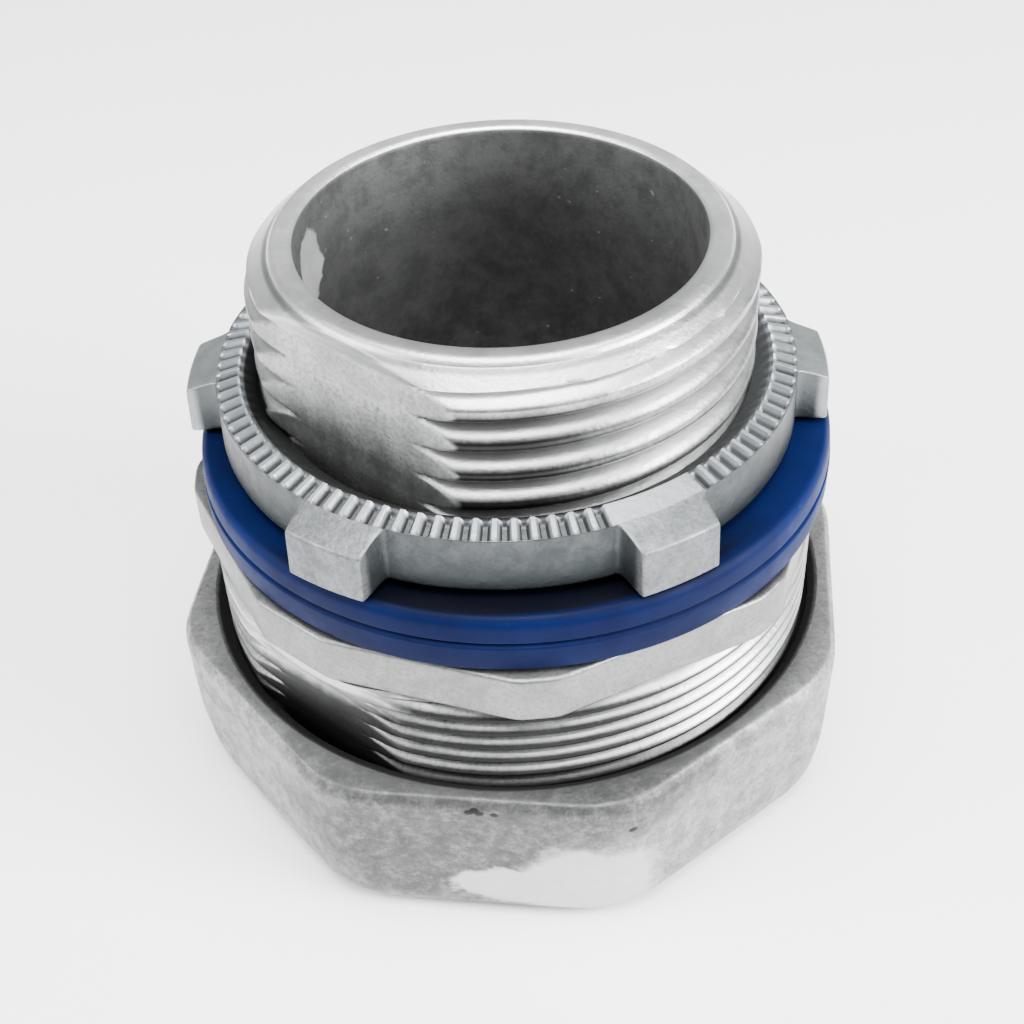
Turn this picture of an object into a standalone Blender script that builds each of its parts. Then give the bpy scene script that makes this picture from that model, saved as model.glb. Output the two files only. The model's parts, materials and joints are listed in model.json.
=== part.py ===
"""Conduit compression fitting, 1 inch trade size, for rigid conduit.

Seven separate pieces share one vertical axis. The fitting stands on the base of its
compression nut with the threaded nipple up. Lengths below are in millimetres and heights are
measured from the base. Angles are in degrees, anticlockwise seen from above, from +X.

Each piece is a turned section: rings of vertices joined one after another, down its outside
and up its inside. Screw threads are real helices, and each nut's thread is the male thread
moved out by its clearance, so the pairs are in mesh as they stand.
"""

import math

import bmesh
import bpy

MM = 0.001
INCH = 25.4
FRONT = -90.0

# Heights of the stack, from the base up.
NUT_FLOOR = 2.2
BODY_FOOT = 8.0
NUT_TOP = 12.5
FLANGE_BOTTOM = 19.1
CONDUIT_STOP = 20.5
FLANGE_TOP = 22.6
SEALING_RING_TOP = 26.9
LUG_BOTTOM = 27.2
LOCKNUT_RING_BOTTOM = 27.55
LOCKNUT_TOP = 31.85
NIPPLE_TOP = 41.0

# Gap that keeps each piece clear of the piece it rests on.
GAP = 0.3

# Round openings.
BORE_RADIUS = 13.2
CONDUIT_RADIUS = 33.4 / 2
SOCKET_RADIUS = CONDUIT_RADIUS + 0.3

# Flats and corners of the two octagons: distance to a flat, and to a broken corner.
FLANGE_FLAT = 21.1
FLANGE_CORNER = 22.3
FLANGE_CORNER_ANGLE = FRONT + 2.5
NUT_FLAT = 23.34
NUT_CORNER = 25.0
NUT_CORNER_ANGLE = FRONT + 14.4
OCTAGON_STEP = 45.0

# Two opposite flats down the body's threads, where the casting dies part.
PARTING_ANGLE = FRONT - 41.0
NIPPLE_FLAT = 14.55
GLAND_THREAD_FLAT = 20.2

# Sealing ring: it is loose on the nipple and lies a little to one side.
SEALING_RING_RADIUS = 21.7
SEALING_RING_GROOVE = 25.0
SEALING_RING_SHIFT = 0.4

# Locknut: six lugs stand out of its ring.
LUG_COUNT = 6
LUG_ANGLE = FRONT + 27.5
LUG_HALF_WIDTH = 7.4
LUG_ROOT_HALF_WIDTH = 9.4
LUG_RADIUS = 21.65
LOCKNUT_RING_RADIUS = 19.5
SERRATION_INNER_RADIUS = 17.8

# Cone that squeezes the split ring onto the conduit.
SEAT_MOUTH_RADIUS = 19.55
SEAT_SLOPE = math.tan(math.radians(24.8))
SPLIT_RING_RADIUS = 18.9
SPLIT_RING_TOP = 9.6
SPLIT_RING_SHOULDER = 6.9
SPLIT_HALF_ANGLE = 5.0

# Smallest feature kept where a thread runs out into a plain end.
THREAD_END_SNAP = 0.12
COLUMNS = 40


class Thread:
    """A right-hand screw thread, given by its major radius, pitch and depth."""

    CREST_SHARE = 0.16
    ROOT_SHARE = 0.14

    def __init__(self, major, turns_per_inch, depth_share, root_height):
        self.major = major
        self.pitch = INCH / turns_per_inch
        self.minor = major - depth_share * self.pitch
        self.root_height = root_height

    def corners(self, clearance):
        """Corners of one turn's section: share of the pitch from the root's middle, radius."""
        root = self.minor + clearance
        crest = self.major + clearance
        return [
            (self.ROOT_SHARE / 2, root),
            (0.5 - self.CREST_SHARE / 2, crest),
            (0.5 + self.CREST_SHARE / 2, crest),
            (1.0 - self.ROOT_SHARE / 2, root),
        ]

    def root_at(self, angle):
        """Height of a root's middle at an angle."""
        return self.root_height + self.pitch * (angle - FRONT) / 360.0


NIPPLE_THREAD = Thread(major=16.6, turns_per_inch=11.5, depth_share=0.575, root_height=37.24)
GLAND_THREAD = Thread(major=21.3, turns_per_inch=20.0, depth_share=0.6, root_height=16.07)
LOCKNUT_CLEARANCE = 0.27
GLAND_CLEARANCE = 0.3


class Turning:
    """A body turned about the Z axis, built ring by ring."""

    def __init__(self, angles, full_circle=True):
        self.bm = bmesh.new()
        self.angles = angles
        self.full_circle = full_circle
        self.rings = []

    def column_pairs(self):
        count = len(self.angles)
        last = count if self.full_circle else count - 1
        return [(index, (index + 1) % count) for index in range(last)]

    def vertex(self, radius, angle, height):
        turn = math.radians(angle)
        return self.bm.verts.new(
            (radius * math.cos(turn) * MM, radius * math.sin(turn) * MM, height * MM)
        )

    def add_ring(self, radius, height):
        """Make a ring. Radius and height are each a number or a function of the angle."""
        ring = []
        for angle in self.angles:
            column_radius = radius(angle) if callable(radius) else radius
            column_height = height(angle) if callable(height) else height
            ring.append(self.vertex(column_radius, angle, column_height))
        self.rings.append(ring)
        return ring

    def join(self, first, second):
        for here, there in self.column_pairs():
            self.bm.faces.new((first[here], second[here], second[there], first[there]))

    def ring(self, radius, height):
        """Make a ring and join it to the one before."""
        ring = self.add_ring(radius, height)
        if len(self.rings) > 1:
            self.join(self.rings[-2], ring)

    def thread(self, thread, end_radius, end_height, limit, clearance=0.0):
        """Cut a thread from the last ring to a new one. limit(radius, angle, height) trims it."""
        start = self.rings[-1]
        start_height = start[0].co.z / MM
        end = self.add_ring(end_radius, end_height)
        direction = 1 if end_height > start_height else -1
        corners = thread.corners(clearance)
        per_turn = len(corners)
        made = {}

        def point(column, row):
            if column == len(self.angles):
                column = 0
                row += direction * per_turn
            share, radius = corners[row % per_turn]
            turns = row // per_turn + share
            height = thread.root_at(self.angles[column]) + direction * thread.pitch * turns
            if direction * (height - start_height) < THREAD_END_SNAP:
                return start[column]
            if direction * (end_height - height) < THREAD_END_SNAP:
                return end[column]
            if (column, row) not in made:
                radius = limit(radius, self.angles[column], height)
                made[column, row] = self.vertex(radius, self.angles[column], height)
            return made[column, row]

        reach = abs(start_height - thread.root_height) + abs(end_height - thread.root_height)
        rows = per_turn * (int(reach / thread.pitch) + 3)
        for column in range(len(self.angles)):
            for row in range(-rows, rows):
                face = []
                for corner in (
                    point(column, row),
                    point(column, row + 1),
                    point(column + 1, row + 1),
                    point(column + 1, row),
                ):
                    if corner not in face:
                        face.append(corner)
                if len(face) > 2:
                    self.bm.faces.new(face)

    def shift(self, distance):
        """Move the whole section sideways, along +X."""
        bmesh.ops.translate(self.bm, verts=self.bm.verts, vec=(distance * MM, 0, 0))

    def finish(self, name, material, base_height, parent=None):
        """Close the section and make the object, with its origin on the fitting's axis."""
        self.join(self.rings[-1], self.rings[0])
        if not self.full_circle:
            self.bm.faces.new([ring[0] for ring in reversed(self.rings)])
            self.bm.faces.new([ring[-1] for ring in self.rings])
        bmesh.ops.translate(self.bm, verts=self.bm.verts, vec=(0, 0, -base_height * MM))
        mesh = bpy.data.meshes.new(name)
        self.bm.to_mesh(mesh)
        self.bm.free()
        mesh.shade_smooth()
        mesh.set_sharp_from_angle(angle=math.radians(28))
        mesh.materials.append(material)
        obj = bpy.data.objects.new(name, mesh)
        obj.location = (0, 0, base_height * MM)
        bpy.context.collection.objects.link(obj)
        if parent:
            obj.parent = parent
            obj.location.z -= parent.location.z


def even_angles(first):
    return [first + 360.0 * index / COLUMNS for index in range(COLUMNS)]


def octagon(flat, corner, corner_angle):
    """Radius of an octagon with broken corners, as a function of the angle."""

    def radius(angle):
        from_corner = (angle - corner_angle) % OCTAGON_STEP
        from_flat = from_corner - OCTAGON_STEP / 2
        return min(flat / math.cos(math.radians(from_flat)), corner)

    return radius


def parting_flat(distance, round_radius):
    """Radius of a circle with the two parting flats, as a function of the angle."""

    def radius(angle):
        from_flat = (angle - PARTING_ANGLE + 90.0) % 180.0 - 90.0
        return min(distance / max(math.cos(math.radians(from_flat)), 0.1), round_radius)

    return radius


def plain_material(name, colour, roughness, metallic):
    material = bpy.data.materials.new(name)
    material.use_nodes = True
    shader = material.node_tree.nodes["Principled BSDF"]
    shader.inputs["Base Color"].default_value = (*colour, 1.0)
    shader.inputs["Roughness"].default_value = roughness
    shader.inputs["Metallic"].default_value = metallic
    return material


def make_connector_body():
    """Die-cast body: threaded nipple, octagonal flange, gland thread, throat and socket."""
    lip_radius = 14.5
    lip_edge_radius = 14.86
    lip_edge = NIPPLE_TOP - 0.28
    foot_radius = GLAND_THREAD.minor - 0.24
    flange_chamfer = 0.3
    thread_relief = 0.2

    def nipple_limit(radius, angle, height):
        lead_in = lip_edge_radius + 1.2 * (lip_edge - height)
        run_out = NIPPLE_THREAD.minor + 1.5 * (height - FLANGE_TOP - 0.9)
        return min(lead_in, parting_flat(NIPPLE_FLAT, min(radius, run_out))(angle))

    def gland_limit(radius, angle, height):
        lead_in = foot_radius + 1.2 * (height - BODY_FOOT)
        run_out = GLAND_THREAD.minor + 2.0 * (FLANGE_BOTTOM - thread_relief - height)
        return min(lead_in, parting_flat(GLAND_THREAD_FLAT, min(radius, run_out))(angle))

    flange = octagon(FLANGE_FLAT, FLANGE_CORNER, FLANGE_CORNER_ANGLE)
    flange_edge = octagon(
        FLANGE_FLAT - flange_chamfer, FLANGE_CORNER - flange_chamfer, FLANGE_CORNER_ANGLE
    )

    nipple_root = parting_flat(NIPPLE_FLAT, NIPPLE_THREAD.minor)
    gland_root = parting_flat(GLAND_THREAD_FLAT, GLAND_THREAD.minor)
    foot = parting_flat(GLAND_THREAD_FLAT, foot_radius)

    turning = Turning(even_angles(FLANGE_CORNER_ANGLE))
    turning.ring(BORE_RADIUS, NIPPLE_TOP - 0.3)
    turning.ring(BORE_RADIUS + 0.3, NIPPLE_TOP)
    turning.ring(lip_radius, NIPPLE_TOP)
    turning.ring(lip_edge_radius, lip_edge)
    turning.thread(NIPPLE_THREAD, nipple_root, FLANGE_TOP + 0.9, nipple_limit)
    turning.ring(nipple_root, FLANGE_TOP)
    turning.ring(flange_edge, FLANGE_TOP)
    turning.ring(flange, FLANGE_TOP - flange_chamfer)
    turning.ring(flange, FLANGE_BOTTOM + flange_chamfer)
    turning.ring(flange_edge, FLANGE_BOTTOM)
    turning.ring(gland_root, FLANGE_BOTTOM)
    turning.ring(gland_root, FLANGE_BOTTOM - thread_relief)
    turning.thread(GLAND_THREAD, foot, BODY_FOOT, gland_limit)
    turning.ring(SEAT_MOUTH_RADIUS, BODY_FOOT)
    turning.ring(SOCKET_RADIUS, BODY_FOOT + (SEAT_MOUTH_RADIUS - SOCKET_RADIUS) / SEAT_SLOPE)
    turning.ring(SOCKET_RADIUS, CONDUIT_STOP)
    turning.ring(BORE_RADIUS, CONDUIT_STOP)
    zinc = plain_material("zinc_body", (0.62, 0.63, 0.64), 0.42, 0.9)
    turning.finish("connector_body", zinc, BODY_FOOT)


def make_sealing_ring():
    """Blue moulded ring between the flange and the locknut, with one groove round it."""
    base = FLANGE_TOP + GAP
    bore = NIPPLE_THREAD.major + GAP + SEALING_RING_SHIFT
    edge = 0.3
    groove_depth = 0.3
    turning = Turning(even_angles(FRONT))
    turning.ring(bore, SEALING_RING_TOP)
    turning.ring(SEALING_RING_RADIUS - 2 * edge, SEALING_RING_TOP)
    turning.ring(SEALING_RING_RADIUS - edge / 2, SEALING_RING_TOP - edge)
    turning.ring(SEALING_RING_RADIUS, SEALING_RING_GROOVE + groove_depth)
    turning.ring(SEALING_RING_RADIUS - groove_depth, SEALING_RING_GROOVE)
    turning.ring(SEALING_RING_RADIUS, SEALING_RING_GROOVE - groove_depth)
    turning.ring(SEALING_RING_RADIUS, base + edge)
    turning.ring(SEALING_RING_RADIUS - edge, base)
    turning.ring(bore, base)
    turning.shift(SEALING_RING_SHIFT)
    blue = plain_material("blue_sealing_ring", (0.01, 0.045, 0.25), 0.38, 0.0)
    turning.finish("sealing_ring", blue, base)


def locknut_angles():
    """Columns of the locknut: six equal sectors, each with its lug's sides."""
    sector = [0.0, LUG_HALF_WIDTH, LUG_ROOT_HALF_WIDTH, 19.0, 30.0]
    mirrored = [60.0 - angle for angle in reversed(sector[1:-1])]
    angles = []
    for lug in range(LUG_COUNT):
        start = LUG_ANGLE + lug * 360.0 / LUG_COUNT
        angles += [start + angle for angle in sector + mirrored]
    return angles


def make_locknut():
    """Die-cast locknut with a serrated upper face and six lugs."""
    lug_edge = 0.2
    thread_bottom = LOCKNUT_RING_BOTTOM + 0.3
    thread_top = LOCKNUT_TOP - 0.8
    thread_radius = NIPPLE_THREAD.major + LOCKNUT_CLEARANCE

    def lug_or_ring(lug_value, ring_value):
        def value(angle):
            from_lug = abs((angle - LUG_ANGLE + 30.0) % 60.0 - 30.0)
            return lug_value if from_lug < LUG_HALF_WIDTH + 0.1 else ring_value

        return value

    def limit(radius, _angle, height):
        lead_in = min(height - thread_bottom, thread_top - height)
        return max(radius, thread_radius - 1.2 * lead_in)

    turning = Turning(locknut_angles())
    turning.ring(SERRATION_INNER_RADIUS, LOCKNUT_TOP)
    turning.ring(LOCKNUT_RING_RADIUS - 0.1, LOCKNUT_TOP - 0.45)
    turning.ring(
        lug_or_ring(LUG_RADIUS - lug_edge, LOCKNUT_RING_RADIUS),
        lug_or_ring(LOCKNUT_TOP - 1.15, LOCKNUT_TOP - 0.6),
    )
    turning.ring(
        lug_or_ring(LUG_RADIUS, LOCKNUT_RING_RADIUS),
        lug_or_ring(LOCKNUT_TOP - 1.4, LOCKNUT_TOP - 0.9),
    )
    turning.ring(
        lug_or_ring(LUG_RADIUS, LOCKNUT_RING_RADIUS),
        lug_or_ring(LUG_BOTTOM + lug_edge, LOCKNUT_RING_BOTTOM + lug_edge),
    )
    turning.ring(
        lug_or_ring(LUG_RADIUS - lug_edge, LOCKNUT_RING_RADIUS - lug_edge),
        lug_or_ring(LUG_BOTTOM, LOCKNUT_RING_BOTTOM),
    )
    turning.ring(
        LOCKNUT_RING_RADIUS - 2 * lug_edge, lug_or_ring(LUG_BOTTOM, LOCKNUT_RING_BOTTOM)
    )
    turning.ring(LOCKNUT_RING_RADIUS - 3 * lug_edge, LOCKNUT_RING_BOTTOM)
    turning.ring(thread_radius + 0.4, LOCKNUT_RING_BOTTOM)
    turning.ring(thread_radius, thread_bottom)
    turning.thread(NIPPLE_THREAD, thread_radius, thread_top, limit, LOCKNUT_CLEARANCE)
    zinc = plain_material("zinc_locknut", (0.66, 0.67, 0.68), 0.45, 0.9)
    turning.finish("locknut", zinc, LUG_BOTTOM)


def make_compression_nut():
    """Die-cast octagonal nut: threaded inside, with a floor that the conduit passes through."""
    thread_radius = GLAND_THREAD.major + GLAND_CLEARANCE
    thread_bottom = NUT_FLOOR + 1.6
    thread_top = NUT_TOP - 0.5
    mouth_radius = 22.15
    hole_radius = SOCKET_RADIUS + 0.1
    # Height, inset of the flats and inset of the corners: the walls round in towards the base.
    wall = [
        (NUT_TOP, 0.35, 0.35),
        (NUT_TOP - 0.5, 0.0, 0.0),
        (5.0, 0.0, 0.05),
        (2.4, 0.05, 0.6),
        (0.8, 0.25, 1.1),
        (0.0, 1.15, 2.1),
    ]

    def limit(radius, _angle, height):
        lead_in = min(height - thread_bottom, thread_top - height)
        return max(radius, thread_radius - 1.5 * lead_in)

    turning = Turning(even_angles(NUT_CORNER_ANGLE))
    turning.ring(mouth_radius, NUT_TOP)
    for height, flat_inset, corner_inset in wall:
        outline = octagon(NUT_FLAT - flat_inset, NUT_CORNER - corner_inset, NUT_CORNER_ANGLE)
        turning.ring(outline, height)
    turning.ring(hole_radius + 0.3, 0.0)
    turning.ring(hole_radius, 0.3)
    turning.ring(hole_radius, NUT_FLOOR)
    turning.ring(thread_radius, NUT_FLOOR)
    turning.ring(thread_radius, thread_bottom)
    turning.thread(GLAND_THREAD, thread_radius, thread_top, limit, GLAND_CLEARANCE)
    zinc = plain_material("zinc_nut", (0.5, 0.51, 0.52), 0.55, 0.85)
    turning.finish("compression_nut", zinc, 0.0)


def make_slip_washer(pack):
    """Thin steel washer that lets the nut turn without twisting the seal."""
    base = NUT_FLOOR + GAP
    top = base + 0.8
    edge = 0.12
    inner = SOCKET_RADIUS + 0.1
    outer = 20.3
    turning = Turning(even_angles(FRONT))
    turning.ring(inner, top)
    turning.ring(outer - edge, top)
    turning.ring(outer, top - edge)
    turning.ring(outer, base + edge)
    turning.ring(outer - edge, base)
    turning.ring(inner, base)
    steel = plain_material("steel_washer", (0.7, 0.7, 0.71), 0.3, 1.0)
    turning.finish("slip_washer", steel, base, pack)


def make_gland_seal(pack):
    """Rubber ring that grips the conduit and keeps rain out, with rounded corners."""
    base = 3.6
    top = 5.8
    inner = SOCKET_RADIUS
    outer = 20.1
    corner = 0.5
    turning = Turning(even_angles(FRONT))
    for centre_radius, centre_height, first in (
        (outer - corner, top - corner, 90.0),
        (outer - corner, base + corner, 0.0),
        (inner + corner, base + corner, -90.0),
        (inner + corner, top - corner, -180.0),
    ):
        for step in range(3):
            bend = math.radians(first - 45.0 * step)
            turning.ring(
                centre_radius + corner * math.cos(bend), centre_height + corner * math.sin(bend)
            )
    rubber = plain_material("black_rubber", (0.02, 0.02, 0.021), 0.7, 0.0)
    turning.finish("gland_seal", rubber, base, pack)


def make_compression_ring(pack):
    """Split steel ring with a coned outside that wedges into the body's seat."""
    base = 6.1
    top_radius = SPLIT_RING_RADIUS - SEAT_SLOPE * (SPLIT_RING_TOP - SPLIT_RING_SHOULDER)
    first = 20.0 + SPLIT_HALF_ANGLE
    sweep = 360.0 - 2 * SPLIT_HALF_ANGLE
    angles = [first + sweep * index / COLUMNS for index in range(COLUMNS + 1)]
    turning = Turning(angles, full_circle=False)
    turning.ring(SOCKET_RADIUS, SPLIT_RING_TOP)
    turning.ring(top_radius, SPLIT_RING_TOP)
    turning.ring(SPLIT_RING_RADIUS, SPLIT_RING_SHOULDER)
    turning.ring(SPLIT_RING_RADIUS, base)
    turning.ring(SOCKET_RADIUS, base)
    steel = plain_material("steel_split_ring", (0.56, 0.54, 0.5), 0.35, 1.0)
    turning.finish("compression_ring", steel, base, pack)


def make_gland_pack():
    """The three pieces that the nut pushes up: washer, seal and split ring."""
    pack = bpy.data.objects.new("gland_pack_axis", None)
    pack.location = (0, 0, (NUT_FLOOR + GAP) * MM)
    bpy.context.collection.objects.link(pack)
    make_slip_washer(pack)
    make_gland_seal(pack)
    make_compression_ring(pack)


def main():
    for obj in list(bpy.data.objects):
        bpy.data.objects.remove(obj, do_unlink=True)
    make_connector_body()
    make_sealing_ring()
    make_locknut()
    make_gland_pack()
    make_compression_nut()


main()
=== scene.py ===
"""Looks of the conduit compression fitting: fine meshes and materials for its seven pieces.

Lengths are in millimetres, heights are measured from the base of the compression nut, and
angles are in degrees, anticlockwise seen from above, from +X. Every piece is turned about
the Z axis, so it is built from rows of points, and threads, serrations, lugs and flats are
functions of the angle and the height.
"""

import json
import math

import bmesh
import bpy
import numpy as np
from mathutils import Matrix, Vector


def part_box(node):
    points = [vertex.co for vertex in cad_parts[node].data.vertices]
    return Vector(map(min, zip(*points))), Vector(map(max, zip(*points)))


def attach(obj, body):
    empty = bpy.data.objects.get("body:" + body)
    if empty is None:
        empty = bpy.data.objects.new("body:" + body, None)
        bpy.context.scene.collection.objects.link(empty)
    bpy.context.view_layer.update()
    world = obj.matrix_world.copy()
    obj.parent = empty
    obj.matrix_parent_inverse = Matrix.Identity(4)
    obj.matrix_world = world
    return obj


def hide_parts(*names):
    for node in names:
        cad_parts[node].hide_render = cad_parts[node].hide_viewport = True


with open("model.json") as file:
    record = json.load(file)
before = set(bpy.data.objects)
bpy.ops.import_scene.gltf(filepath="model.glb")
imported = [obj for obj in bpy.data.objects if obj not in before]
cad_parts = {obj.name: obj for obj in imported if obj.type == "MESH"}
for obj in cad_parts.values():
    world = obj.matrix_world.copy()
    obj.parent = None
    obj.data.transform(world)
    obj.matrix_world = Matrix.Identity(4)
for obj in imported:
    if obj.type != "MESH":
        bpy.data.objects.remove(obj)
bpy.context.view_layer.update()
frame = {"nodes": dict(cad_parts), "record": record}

MM = 0.001
FRONT = -90.0
RECORD = frame["record"]
MOUNT_HEIGHT = {mount["name"]: mount["pos_m"][2] / MM for mount in RECORD["mounts"]}
TRAVEL_PER_TURN = {
    coupling["follows"]: 2 * math.pi / coupling["ratio"] / MM
    for coupling in RECORD["behaviour"]["couplings"]
}


def height_range(node):
    """Lowest and highest height of a CAD node."""
    low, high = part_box(node)
    return low.z / MM, high.z / MM


# Heights, from the frame.
BODY_FOOT, NIPPLE_TOP = height_range("connector_body")
NUT_BASE, NUT_TOP = height_range("compression_nut")
SEALING_RING_BASE, SEALING_RING_TOP = height_range("sealing_ring")
LUG_BOTTOM, LOCKNUT_TOP = height_range("locknut")
WASHER_BASE, WASHER_TOP = height_range("slip_washer")
SEAL_BASE, SEAL_TOP = height_range("gland_seal")
FLANGE_TOP = SEALING_RING_BASE - 0.3
CONDUIT_STOP = MOUNT_HEIGHT["conduit_stop"]
FLANGE_BOTTOM = FLANGE_TOP - 3.5
LOCKNUT_RING_BOTTOM = LUG_BOTTOM + 0.35
NUT_FLOOR = WASHER_BASE - 0.3

# Round openings and rims.
BORE_RADIUS = 13.2
SOCKET_RADIUS = 17.0
NUT_MOUTH_RADIUS = 22.15
SEALING_RING_RADIUS = 21.66

# Octagons. A corner is cut at its own distance from the axis.
OCTAGON_SIDES = 8
CORNER_TO_FLAT = 180.0 / OCTAGON_SIDES
FLANGE_FLAT = 21.1
FLANGE_CORNER = 22.3
FLANGE_CORNER_ANGLE = FRONT + 2.5
NUT_CORNER = 24.78
NUT_CORNER_ANGLE = FRONT + 14.4

# Locknut.
LUG_COUNT = 6
LUG_ANGLE = FRONT + 27.5
LUG_HALF_WIDTH = 7.1
LUG_ROOT_HALF_WIDTH = 10.2
LUG_RADIUS = 21.65
LOCKNUT_RING_RADIUS = 19.5
SERRATION_COUNT = 100
SERRATION_INNER_RADIUS = 17.8
SERRATION_DEPTH = 0.55
SERRATION_FIRST_NOTCH = FRONT - 1.75
LOCKNUT_FACE_SLOPE = 0.265
BLANK_PAD_ANGLE = FRONT + 27.0
BLANK_PAD_HALF_WIDTH = 9.0

# The two dies meet on opposite sides, where flats cut the body's threads and its flange.
# A web fills the gland thread there, just under the flange.
PARTING_ANGLE = FRONT - 41.0
NIPPLE_FLAT = 14.55
GLAND_THREAD_FLAT = 20.2
FLANGE_PARTING_FLAT = 21.65
WEB_RADIUS = 21.4
WEB_HEIGHT = 2.8

FINE_COLUMNS = 360
ROUNDING_STEPS = 4


class Thread:
    """A right-hand screw thread with sharp roots and rounded crests."""

    def __init__(self, major, pitch, depth_share, root_height, roundness):
        """depth_share is depth over pitch. root_height is the height of a root at the front."""
        self.major = major
        self.minor = major - depth_share * pitch
        self.pitch = pitch
        self.root_height = root_height
        self.roundness = roundness

    def radius(self, angle, height):
        turns = (height - self.root_height) / self.pitch - (angle - FRONT) / 360.0
        from_root = 1.0 - 2.0 * np.abs(turns % 1.0 - 0.5)
        share = 1.0 - (1.0 - from_root) ** self.roundness
        return self.minor + (self.major - self.minor) * share


NIPPLE_THREAD = Thread(16.6, TRAVEL_PER_TURN["ring_slide"], 0.575, 37.24, roundness=2.0)
GLAND_THREAD = Thread(21.3, TRAVEL_PER_TURN["gland_slide"], 0.6, 16.07, roundness=1.8)
LOCKNUT_CLEARANCE = 0.27
GLAND_CLEARANCE = 0.3
# Turns that the locknut climbs above its seat.
LOCKNUT_TURNS = 4


# ---------------------------------------------------------------- shape functions


def smooth_step(value, start, end):
    share = np.clip((value - start) / (end - start), 0.0, 1.0)
    return share * share * (3 - 2 * share)


def from_nearest(angle, first, step):
    """Signed angle from the nearest of first, first + step and so on."""
    return (angle - first + step / 2) % step - step / 2


def soft_polygon(angle, planes, hardness):
    """Radius of a convex outline. planes is a list of (distance, first angle, count)."""
    nearest = planes[0][0]
    total = np.zeros_like(angle)
    for distance, first, count in planes:
        for index in range(count):
            facing = np.cos(np.radians(angle - first - index * 360.0 / count))
            total += (np.clip(facing, 0.0, None) * nearest / distance) ** hardness
    return nearest * total ** (-1.0 / hardness)


def soft_least(first, second, hardness):
    """The smaller of two radii, with the change between them rounded."""
    smaller = np.minimum(first, second)
    powers = (smaller / first) ** hardness + (smaller / second) ** hardness
    return smaller * powers ** (-1.0 / hardness)


def waves(angle, height, seed, amplitude):
    """Slow, uneven swell of a cast wall."""
    picks = np.random.default_rng(seed)
    total = np.zeros_like(angle)
    for _ in range(7):
        lobes = picks.integers(2, 15)
        rise = picks.uniform(-0.9, 0.9)
        phase = picks.uniform(0, 2 * math.pi)
        total = total + np.sin(np.radians(lobes * angle) + rise * height + phase)
    return amplitude * total / 7


# ---------------------------------------------------------------- turned bodies


class Turned:
    """A closed body turned about the Z axis. Its rows run down the outside, up the inside."""

    def __init__(self, angles):
        self.angle = np.asarray(angles, float)
        self.rows = []
        self.wrap_to = []

    def add(self, radius, height, wrap_to=None):
        ones = np.ones_like(self.angle)
        self.wrap_to.append(len(self.rows) if wrap_to is None else wrap_to)
        self.rows.append(np.array([radius * ones, height * ones]))

    def run(self, *points, spacing=3.0):
        """Rows along a line of points (radius, height) or (radius, height, rounding)."""
        ones = np.ones_like(self.angle)
        corners = [np.array([point[0] * ones, point[1] * ones]) for point in points]
        path = []
        for index, point in enumerate(points):
            here = corners[index]
            if len(point) == 3:
                start = self.toward(here, corners[index - 1], point[2])
                end = self.toward(here, corners[index + 1], point[2])
                for step in range(ROUNDING_STEPS + 1):
                    share = step / ROUNDING_STEPS
                    path.append(
                        start * (1 - share) ** 2
                        + here * 2 * share * (1 - share)
                        + end * share ** 2
                    )
            else:
                path.append(here)
        self.add(*path[0])
        for before, after in zip(path, path[1:]):
            length = np.hypot(*(after - before)).max()
            pieces = max(1, math.ceil(length / spacing))
            for piece in range(1, pieces + 1):
                self.add(*(before + (after - before) * piece / pieces))

    @staticmethod
    def toward(here, there, distance):
        away = there - here
        return here + away / np.maximum(np.hypot(*away), 1e-9) * distance

    def thread(self, thread, surface, start, end, rows_per_turn):
        """Helical rows from height start to height end. surface(angle, height) is the radius."""
        first = len(self.rows)
        turn_share = (self.angle - self.angle[0]) / 360.0
        direction = 1 if end > start else -1
        count = rows_per_turn * (abs(end - start) / thread.pitch + 1)
        shear = turn_share if direction < 0 else turn_share - 1.0
        for index in range(math.ceil(count) + 1):
            height = start + thread.pitch * (direction * index / rows_per_turn + shear)
            height = np.clip(height, min(start, end), max(start, end))
            if direction < 0:
                wrap_to = max(first, len(self.rows) - rows_per_turn)
            else:
                wrap_to = len(self.rows) + rows_per_turn
            self.add(surface(self.angle, height), height, wrap_to)
        if direction > 0:
            last = len(self.rows) - 1
            self.wrap_to[first:] = [min(last, row) for row in self.wrap_to[first:]]

    def build(self, name, shift=(0.0, 0.0)):
        """Make the mesh object, in the row frame."""
        columns = len(self.angle)
        turn = np.radians(self.angle)
        rows = np.array(self.rows)
        x = rows[:, 0] * np.cos(turn) + shift[0]
        y = rows[:, 0] * np.sin(turn) + shift[1]
        points = np.stack([x, y, rows[:, 1]], axis=-1).reshape(-1, 3) * MM

        own = np.arange(len(rows))[:, None] * columns + np.arange(columns)
        wrapped = np.array(self.wrap_to) * columns
        beside = np.concatenate([own[:, 1:], wrapped[:, None]], axis=1)
        below = np.roll(own, -1, axis=0)
        below_beside = np.roll(beside, -1, axis=0)
        faces = np.stack([own, below, below_beside, beside], axis=-1).reshape(-1, 4)

        mesh = bpy.data.meshes.new(name)
        mesh.from_pydata(points.tolist(), [], faces.tolist())
        bm = bmesh.new()
        bm.from_mesh(mesh)
        bmesh.ops.remove_doubles(bm, verts=bm.verts, dist=2e-4 * MM)
        bmesh.ops.dissolve_degenerate(bm, edges=bm.edges, dist=1e-4 * MM)
        bm.to_mesh(mesh)
        bm.free()
        mesh.shade_smooth()
        mesh.set_sharp_from_angle(angle=math.radians(40))
        piece = bpy.data.objects.new(name, mesh)
        bpy.context.scene.collection.objects.link(piece)
        return piece


def even_angles(count=FINE_COLUMNS):
    return FRONT + np.arange(count) * 360.0 / count


def place(piece, node, body, slot, material):
    """Let a piece stand for a CAD node, and ride on its body."""
    piece.data.materials.append(material)
    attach(piece, body)
    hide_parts(node)


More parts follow.
